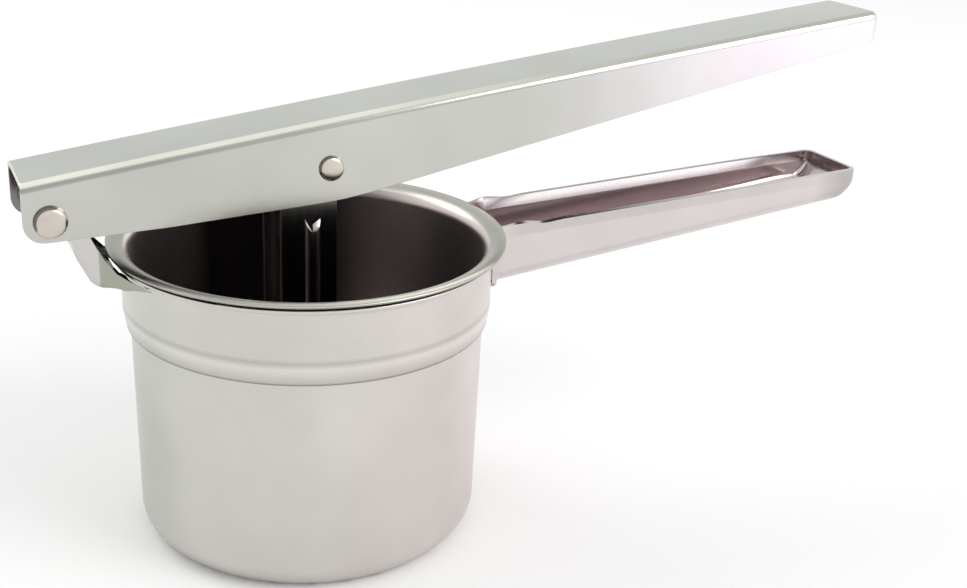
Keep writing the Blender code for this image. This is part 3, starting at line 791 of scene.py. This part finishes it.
class PRESS_OT_handle(bpy.types.Operator):
    """Presses the lower handle, a channel open upwards whose walls flare out round the ring."""

    bl_idname = "press.handle"
    bl_label = "Lower handle"

    # Where the walls start, and how steeply the top edge and the root's underside rise.
    root = 41 * MM
    slope = math.radians(3.1)
    root_slope = math.radians(6.8)

    # The middle, half length and rise of the hump and of the dip in the top edge.
    hump = (54.5 * MM, 6 * MM, 0.6 * MM)
    dip = (62 * MM, 5 * MM, -0.25 * MM)

    # The tabs on the ring: the radius of their outer faces and the bends that lead to them.
    tab_radius = 48.25 * MM
    tab_bend = 2.6 * MM
    tab_end = 54 * MM

    # Radius under the knee and at the nose, and how far the walls' tops lean out.
    knee_bend = 180 * MM
    nose_bend = 6.5 * MM
    lean_out = math.radians(15)

    # The band under the top edge, bright with a painted reflection, and the painted shade round it.
    band = 2.8 * MM
    painted_band_reflection = (1.38, 1.42, 1.46)
    painted_channel_shade = (0.80, 0.74, 0.76)
    painted_far_edge_shade = (0.50, 0.48, 0.50)
    painted_cut_edge_shade = (0.85, 0.85, 0.85)
    painted_nose_shade = (0.78, 0.82, 0.82)

    def execute(self, context):
        sizes = context.scene.press_handle
        finish = context.scene.press_finish
        side = sizes.half_width
        start = self.root + NEAR
        top_strip = 0.8 * MM
        shape = slab(self.outline(sizes), side)
        open_up(shape, lambda spot, way: spot.z > self.edge(sizes, spot.x) - top_strip or spot.x < start)
        fold(shape, lambda spot, way: abs(spot.y) > side - NEAR, sizes.fold, 8)
        self.sharpen(shape, sizes)
        score_along(shape, self.root + FINE_STEP, self.tab_end, FINE_STEP)
        score_along(shape, 60 * MM, 160 * MM, COARSE_STEP)
        wrap(shape, 0, side, self.tab_radius, self.tab_bend, lambda spot: self.share(sizes, spot))
        across = (-math.sin(self.slope), 0, math.cos(self.slope))
        for depth in (0.35 * MM, 0.55 * MM, self.band, self.band + 0.3 * MM):
            score(shape, (0, 0, -sizes.top_drop - depth), across)
        self.lean(shape, sizes)
        bmesh.ops.recalc_face_normals(shape, faces=shape.faces)
        turn_out(shape, (100 * MM, 0, -15 * MM), (0, 0, -1))
        move(shape, RIM_CENTRE)
        handle = give_sheet(piece("pressed_handle", shape), sizes.sheet)
        combine(handle, ring_room(context.scene.press_basket), "DIFFERENCE")
        material = steel("warm_steel", finish.rosy, finish.bright_polish, grain=ROLLED_GRAIN)
        dress(handle, "root", ["handle"], material, tone=self.tone)
        return {"FINISHED"}

    def edge(self, sizes, x):
        """The top edge's level, with the low hump near the ring and the dip after it."""
        level = x * math.tan(self.slope) - sizes.top_drop
        for middle, half_length, rise in (self.hump, self.dip):
            away = abs(x - middle) / half_length
            if away < 1:
                level += rise * (1 + math.cos(math.pi * away)) / 2
        return level

    def outline(self, sizes):
        """The handle from the side, with its top edge in fine steps over the hump and the dip."""
        drop = (sizes.knee - self.root) * math.tan(self.root_slope)
        low = self.edge(sizes, sizes.tip) - sizes.nose_depth
        points = [
            (self.root, -sizes.depth),
            (sizes.knee, drop - sizes.depth, self.knee_bend),
            (sizes.tip, low, self.nose_bend),
            (sizes.tip, self.edge(sizes, sizes.tip)),
        ]
        fine = 70 * MM
        for i in range(round((fine - self.root) / MM) + 1):
            x = fine - i * MM
            points.append((x, self.edge(sizes, x)))
        return points

    def share(self, sizes, spot):
        """How far a point goes round the ring: not at all on the floor, wholly above the fold."""
        if abs(spot.y) < sizes.half_width - sizes.fold - NEAR:
            return 0
        rise = blend(0, 1, (spot.z + sizes.depth) / sizes.fold)
        return rise * rise * (3 - 2 * rise)

    def sharpen(self, shape, sizes):
        """Pushes the nose's upright corners out, so that they are tighter at the top than below."""
        radius = sizes.fold
        low = self.edge(sizes, sizes.tip) - sizes.nose_depth
        for vert in shape.verts:
            across = (vert.co.x - sizes.tip + radius) / radius
            aside = (abs(vert.co.y) - sizes.half_width + radius) / radius
            if across > 0 and aside > 0:
                power = 2 + blend(0, 1, (vert.co.z - low - 1 * MM) / (4 * MM))
                out = math.hypot(across, aside) / (across**power + aside**power) ** (1 / power) - 1
                vert.co.x += out * across * radius
                vert.co.y += math.copysign(out * aside * radius, vert.co.y)

    def lean(self, shape, sizes):
        """Leans the top of each wall outwards a little, less near the ring and the nose."""
        lean = math.tan(self.lean_out)
        for vert in shape.verts:
            x = vert.co.x
            high = self.band - self.edge(sizes, x) + vert.co.z
            if high > 0 and abs(vert.co.y) > sizes.half_width - NEAR:
                start = blend(0, 1, (x - 50 * MM) / (4 * MM))
                end = blend(1, 0, (x - 145 * MM) / (9 * MM))
                vert.co.y += math.copysign(high * lean * start * end, vert.co.y)

    def tone(self, spot, way):
        """Painted light: a painted reflection along the top of the far wall's inside, and painted shade on
        the top edges, the nose and the channel's floor.
        """
        sizes = bpy.context.scene.press_handle
        place = spot - RIM_CENTRE
        under = self.edge(sizes, place.x) - place.z
        inward = place.y * way.y < 0 and abs(way.y) > 0.3
        upward = way.z > 0.5
        far_wall = place.y > 0
        if way.x > 0.5 and place.x > sizes.tip - 4 * MM:
            return self.painted_nose_shade
        if under < 0.15 * MM and far_wall:
            return self.painted_far_edge_shade
        if under < 0.45 * MM and upward:
            return self.painted_cut_edge_shade
        if (inward or upward) and place.x < sizes.tip - 3 * MM:
            if far_wall and under < self.band * 1.02:
                return self.painted_band_reflection
            return self.painted_channel_shade
        # Painted shade darkening the outside towards the nose.
        return shaded((1, 1, 1), blend(1, 0.74, (place.x - sizes.tip + 14 * MM) / (8 * MM)))


class PRESS_OT_pivot_bracket(bpy.types.Operator):
    """Folds the hinge bracket: two ears, a web behind them and wings that lie on the ring."""

    bl_idname = "press.pivot_bracket"
    bl_label = "Hinge bracket"

    # The long folds, and the wings on the ring: their radius and the wide bends that lead to them.
    fold_radius = 1.8 * MM
    wing_radius = 48.45 * MM
    wing_bend = 9.0 * MM
    # Painted light: a highlight outside, shade inside the fold and a greenish reflection on the wings.
    painted_outside_highlight = (1.12, 1.09, 1.14)
    painted_inside_shade = (0.16, 0.15, 0.15)
    painted_wing_reflection = (0.70, 0.73, 0.66)

    def execute(self, context):
        sizes = context.scene.press_handle
        lever = context.scene.press_lever
        finish = context.scene.press_finish
        half = lever.half_width - lever.sheet - 0.4 * MM
        axis = BASKET_AXIS.x - LEVER_HINGE.x
        shape = slab(self.outline(sizes.ear_radius), half)
        open_up(shape, self.is_open)
        fold(shape, lambda spot, way: abs(spot.y) > half - 1 * MM, self.fold_radius)
        score_along(shape, 9 * MM, 24.5 * MM, FINE_STEP)
        wrap(shape, axis, half, self.wing_radius, self.wing_bend, lambda spot: 1)
        bmesh.ops.remove_doubles(shape, verts=shape.verts, dist=FINE_STEP / 2)
        bmesh.ops.recalc_face_normals(shape, faces=shape.faces)
        turn_out(shape, (4.9 * MM, 0, -8 * MM), (-1, 0, 0))
        move(shape, LEVER_HINGE)
        bracket = give_sheet(piece("folded_bracket", shape), sizes.bracket_sheet)
        combine(bracket, ring_room(context.scene.press_basket), "DIFFERENCE")
        combine(bracket, rivet_hole(LEVER_HINGE, HINGE_SHAFT), "DIFFERENCE")
        material = steel("bracket_steel", finish.bright, finish.bright_polish + 0.05)
        dress(bracket, "root", ["pivot_bracket"], material, tone=self.tone)
        return {"FINISHED"}

    def outline(self, ear):
        """The bracket from the side, told from the hinge."""
        front = 25 * MM
        wing_foot = [(front, -16.4 * MM), (16 * MM, -18.4 * MM, 3 * MM), (9.2 * MM, -18.2 * MM, 4 * MM)]
        web = [(4.9 * MM, -9.4 * MM, 8 * MM), (4.7 * MM, -6 * MM), (1.5 * MM, -ear, 2 * MM)]
        ears = [(-ear, -ear, ear * 0.98), (-ear, ear, ear * 0.98), (5.5 * MM, ear, 3 * MM)]
        front_edge = [(8.6 * MM, -5.1 * MM), (10 * MM, -8.2 * MM), (11.6 * MM, -11.1 * MM)]
        wing_top = [(14.2 * MM, -14.4 * MM), (17.3 * MM, -15.9 * MM), (front, -15.7 * MM)]
        return wing_foot + web + ears + front_edge + wing_top

    def is_open(self, spot, way):
        """The sheet goes on between the legs only as the web, behind them and under them."""
        web_top = -6 * MM
        web_end = 14 * MM
        return spot.z > web_top or way.x > 0 or way.z > 0.1 or spot.x > web_end

    def tone(self, spot, way):
        """Painted shade inside the fold, a greyer painted reflection on the wings and a painted highlight on
        the rest of the outside.
        """
        if way.x > 0.3 or (spot.y * way.y < 0 and abs(way.y) > 0.2):
            return self.painted_inside_shade
        if spot.x - LEVER_HINGE.x > 10.2 * MM:
            return self.painted_wing_reflection
        return self.painted_outside_highlight


class PRESS_OT_lever(bpy.types.Operator):
    """Presses the long lever, a channel open downwards and at its back, with a closed tip."""

    bl_idname = "press.lever"
    bl_label = "Lever"

    # How steeply the top face and the far part of the lower edge rise.
    top_slope = math.radians(7.42)
    far_slope = math.radians(11.45)

    # Radii of the corner under the hinge and of the two soft knees in the lower edge.
    ear_bend = 4.6 * MM
    first_knee_bend = 60 * MM
    knee_bend = 90 * MM
    # Painted light: shade on the top and inside, a highlight along the folds and a reflection brightening
    # the far end.
    painted_top_shade = (0.78, 0.81, 0.79)
    painted_fold_highlight = (1, 1, 0.95)
    painted_inside_shade = (0.40, 0.36, 0.38)
    painted_far_reflection = (1.62, 1.50, 1.72)

    def execute(self, context):
        sizes = context.scene.press_lever
        finish = context.scene.press_finish
        back = -sizes.back + NEAR
        tip = sizes.tip - NEAR
        shape = slab(self.outline(sizes), sizes.half_width)
        open_up(shape, lambda spot, way: spot.z < self.top(sizes, spot.x) - 1 * MM and spot.x < tip)
        open_up(shape, lambda spot, way: spot.x < back)
        fold(shape, lambda spot, way: spot.x > tip and abs(way.z) > 0.9, sizes.tip_fold, 8)
        fold(shape, lambda spot, way: spot.z > self.top(sizes, spot.x) - 0.3 * MM, sizes.fold)
        score(shape, (FINE_STEP - sizes.back, 0, 0), (1, 0, 0))
        score_along(shape, 5 * MM, 225 * MM, COARSE_STEP)
        bmesh.ops.recalc_face_normals(shape, faces=shape.faces)
        turn_out(shape, (100 * MM, 0, self.top(sizes, 100 * MM)), (0, 0, 1))
        move(shape, LEVER_HINGE)
        lever = give_sheet(piece("pressed_lever", shape), sizes.sheet)
        combine(lever, rivet_hole(LEVER_HINGE, HINGE_SHAFT), "DIFFERENCE")
        combine(lever, rivet_hole(PLUNGER_HINGE, STRAP_SHAFT), "DIFFERENCE")
        material = steel("bright_steel", finish.bright, finish.bright_polish, grain=ROLLED_GRAIN)
        dress(lever, "lever", ["lever"], material, tone=self.tone)
        return {"FINISHED"}

    def top(self, sizes, x):
        """The lever's top face above its hinge, a little bowed."""
        bow = max(0, 1 - ((x - 95 * MM) / (135 * MM)) ** 2)
        return sizes.top_rise + x * math.tan(self.top_slope) + bow * sizes.bow

    def outline(self, sizes):
        """The lever from the side."""
        knee_rise = -1.3 * MM
        points = [
            (-sizes.back, self.top(sizes, -sizes.back)),
            (-sizes.back, -sizes.ear_drop, self.ear_bend),
            (0, -sizes.ear_drop),
            (26 * MM, -4.05 * MM, self.first_knee_bend),
            (sizes.knee, knee_rise, self.knee_bend),
            (sizes.tip, (sizes.tip - sizes.knee) * math.tan(self.far_slope) + knee_rise),
            (sizes.tip, self.top(sizes, sizes.tip)),
        ]
        steps = 24
        for i in range(1, steps):
            x = sizes.tip - (sizes.tip + sizes.back) * i / steps
            points.append((x, self.top(sizes, x)))
        return points

    def tone(self, spot, way):
        """Painted light: a darker top, a painted highlight along the folds, painted shade under it and
        inside, and a painted reflection brightening the sides towards the far end.
        """
        along = spot.x - LEVER_HINGE.x
        far = (along - 120 * MM) / (80 * MM)
        # The sides' painted reflection, brightening towards the far end.
        side = tuple(blend(1.0, brightest, far) for brightest in self.painted_far_reflection)
        if way.z < -0.5 or (spot.y * way.y < 0 and abs(way.y) > 0.3):
            return self.painted_inside_shade
        if way.z > 0.99:
            return self.painted_top_shade
        if way.z > 0.60:
            return shaded(self.painted_fold_highlight, blend(1.42, 0.85, (along - 60 * MM) / (100 * MM)))
        # Painted shade under the folds.
        if way.z > 0.12:
            return shaded(side, blend(0.60, 0.88, along / (160 * MM)))
        return side


class PRESS_OT_rivets(bpy.types.Operator):
    """Sets the hinge rivet and the strap rivet, each with a flat-domed head on both sides."""

    bl_idname = "press.rivets"
    bl_label = "Rivets"
    # Painted light: a warm reflection on the faces and shade on their upper left edge.
    painted_face_reflection = (1.12, 1.02, 0.98)
    painted_edge_shading = (0.30, 0.28, 0.27)

    def execute(self, context):
        sizes = context.scene.press_lever
        finish = context.scene.press_finish
        seat = sizes.half_width + 0.05 * MM
        material = steel("rivet_steel", finish.bright, 0.24, grain_depth=0.04)
        for name, node, body, place, shaft, head, rise in (
            ("hinge_rivet", "pivot_pin", "root", LEVER_HINGE, HINGE_SHAFT, sizes.hinge_head, 1.7 * MM),
            ("strap_rivet", "plunger_pin", "lever", PLUNGER_HINGE, STRAP_SHAFT, sizes.strap_head, 1.4 * MM),
        ):
            points = [
                (0, seat + rise),
                (head * 0.55, seat + rise * 0.97, 6 * MM),
                (head, seat + rise * 0.62, head * 0.35),
                (head, seat, 0.1 * MM),
                (shaft, seat),
            ]
            below = [(point[0], -point[1], *point[2:]) for point in reversed(points)]
            shape = turned(points + below, RIVET_STEPS, axis="Y")
            move(shape, place)
            dress(piece(name, shape), body, [node], material, edge=0, tone=self.tone)
        return {"FINISHED"}

    def tone(self, spot, way):
        """Painted light: a warm painted reflection on the faces and painted shade on their upper left edge.
        """
        if abs(way.y) < 0.8 and way.z - way.x > 0.35:
            return self.painted_edge_shading
        return self.painted_face_reflection


class PRESS_OT_plunger_yoke(bpy.types.Operator):
    """Folds the strap into a U, with a lobe round its rivet and a rib pressed in each leg."""

    bl_idname = "press.plunger_yoke"
    bl_label = "Strap"
    fold_radius = 3.5 * MM
    # Painted light: highlights on the cut edges and the ribs' mouths, shade on the near leg and a reflection
    # on the far one.
    painted_edge_shading = (1.8, 1.7, 1.75)
    painted_near_shade = (0.5, 0.5, 0.5)
    painted_far_reflection = (1.5, 1.4, 1.4)

    def execute(self, context):
        sizes = context.scene.press_plunger
        finish = context.scene.press_finish
        low = -sizes.reach + sizes.disc_sheet + GAP
        under = low + NEAR
        shape = slab(self.outline(sizes, low), sizes.strap_half_span)
        open_up(shape, lambda spot, way: spot.z > under)
        fold(shape, lambda spot, way: spot.z < under and abs(way.x) > 0.9, self.fold_radius)
        turn_out(shape, (-sizes.strap_offset, 0, low), (0, 0, -1))
        move(shape, PLUNGER_HINGE)
        yoke = give_sheet(piece("folded_strap", shape), context.scene.press_handle.bracket_sheet)
        combine(yoke, rivet_hole(PLUNGER_HINGE, STRAP_SHAFT), "DIFFERENCE")
        combine(yoke, self.ribs(sizes, low), "UNION")
        material = steel("mirror_steel", finish.mirror, 0.14, grain=(2.0, 2.0, 0.2))
        dress(yoke, "plunger", ["plunger_yoke"], material, edge=0.2 * MM, tone=self.tone)
        return {"FINISHED"}

    def outline(self, sizes, low):
        """The strap from the side: a straight leg that narrows to a lobe round its rivet."""
        left = -sizes.strap_offset - sizes.strap_half_width
        right = -sizes.strap_offset + sizes.strap_half_width
        lobe_top = 6 * MM
        lobe_side = 5.6 * MM
        lobe_bend = 5.2 * MM
        return [
            (left, low),
            (right, low),
            (right, -7.5 * MM, 2 * MM),
            (6 * MM, -2 * MM, 2 * MM),
            (lobe_side, lobe_top, lobe_bend),
            (-lobe_side, lobe_top, lobe_bend),
            (left, -8.5 * MM, 4 * MM),
        ]

    def ribs(self, sizes, low):
        """Two half-round ribs whose upper ends are sheared open."""
        shape = bmesh.new()
        top = -sizes.rib_top
        foot = low + 9 * MM
        sunk = 0.5 * MM
        shear = 3.6 * MM
        half_width = 2.1 * MM
        middle = 0.8 * MM - sizes.strap_offset
        for side in (-1, 1):
            aside = side * (sizes.strap_half_span - sunk)
            place = Matrix.Translation((middle, aside, (top + foot) / 2))
            stretch = Matrix.Diagonal((half_width, sizes.rib_height + sunk, 1, 1))
            bmesh.ops.create_cone(
                shape,
                cap_ends=True,
                segments=32,
                radius1=1,
                radius2=1,
                depth=top - foot,
                matrix=place @ stretch,
            )
        for vert in shape.verts:
            if vert.co.z > top - NEAR:
                proud = abs(vert.co.y) - sizes.strap_half_span
                vert.co.z -= max(0, proud) / sizes.rib_height * shear
        move(shape, PLUNGER_HINGE)
        return piece("ribs", shape)

    def tone(self, spot, way):
        """Painted light: painted shade on the near faces, a painted reflection on the far ones, and painted
        highlights on the cut edges and each rib's mouth.
        """
        if abs(way.x) > 0.8 or way.z > 0.2:
            return self.painted_edge_shading
        return self.painted_near_shade if spot.y < 0 else self.painted_far_reflection


class PRESS_OT_plunger_disc(bpy.types.Operator):
    """Presses the shallow pan that pushes the dough."""

    bl_idname = "press.plunger_disc"
    bl_label = "Disc"

    def execute(self, context):
        sizes = context.scene.press_plunger
        finish = context.scene.press_finish
        low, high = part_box("plunger_disc")
        points = [(sizes.disc_radius, high.z - low.z), (sizes.disc_radius, 0, 2.2 * MM), (0, 0)]
        shape = turned(points, PAN_STEPS)
        turn_out(shape, (0, 0, 0), (0, 0, -1))
        move(shape, Vector(((low.x + high.x) / 2, 0, low.z)))
        disc = give_sheet(piece("pressed_disc", shape), sizes.disc_sheet)
        material = steel("pan_steel", finish.mirror, 0.2)
        dress(disc, "plunger", ["plunger_disc"], material)
        return {"FINISHED"}


ORDER = (
    "stage",
    "basket",
    "holder_ring",
    "handle",
    "pivot_bracket",
    "lever",
    "rivets",
    "plunger_yoke",
    "plunger_disc",
)


class PRESS_PT_panel(bpy.types.Panel):
    """Lists the press's operators."""

    bl_idname = "PRESS_PT_panel"
    bl_label = "Passatelli press"
    bl_space_type = "VIEW_3D"
    bl_region_type = "UI"
    bl_category = "Press"

    def draw(self, context):
        for name in ORDER:
            self.layout.operator("press." + name)


GROUPS = {
    "press_basket": PressBasketSizes,
    "press_lever": PressLeverSizes,
    "press_handle": PressHandleSizes,
    "press_plunger": PressPlungerSizes,
    "press_finish": PressFinish,
}
CLASSES = (
    *GROUPS.values(),
    PRESS_OT_stage,
    PRESS_OT_basket,
    PRESS_OT_holder_ring,
    PRESS_OT_handle,
    PRESS_OT_pivot_bracket,
    PRESS_OT_lever,
    PRESS_OT_rivets,
    PRESS_OT_plunger_yoke,
    PRESS_OT_plunger_disc,
    PRESS_PT_panel,
)


def register():
    """Registers the classes and their settings."""
    for made in CLASSES:
        bpy.utils.register_class(made)
    for name, group in GROUPS.items():
        setattr(bpy.types.Scene, name, bpy.props.PointerProperty(type=group))


def unregister():
    """Takes the settings and the classes away."""
    for name in GROUPS:
        delattr(bpy.types.Scene, name)
    for made in reversed(CLASSES):
        bpy.utils.unregister_class(made)


def main():
    """Builds the press."""
    register()
    for name in ORDER:
        done = getattr(bpy.ops.press, name)()
        if done != {"FINISHED"}:
            raise RuntimeError(name + " could not finish")


if __name__ == "__main__":
    main()
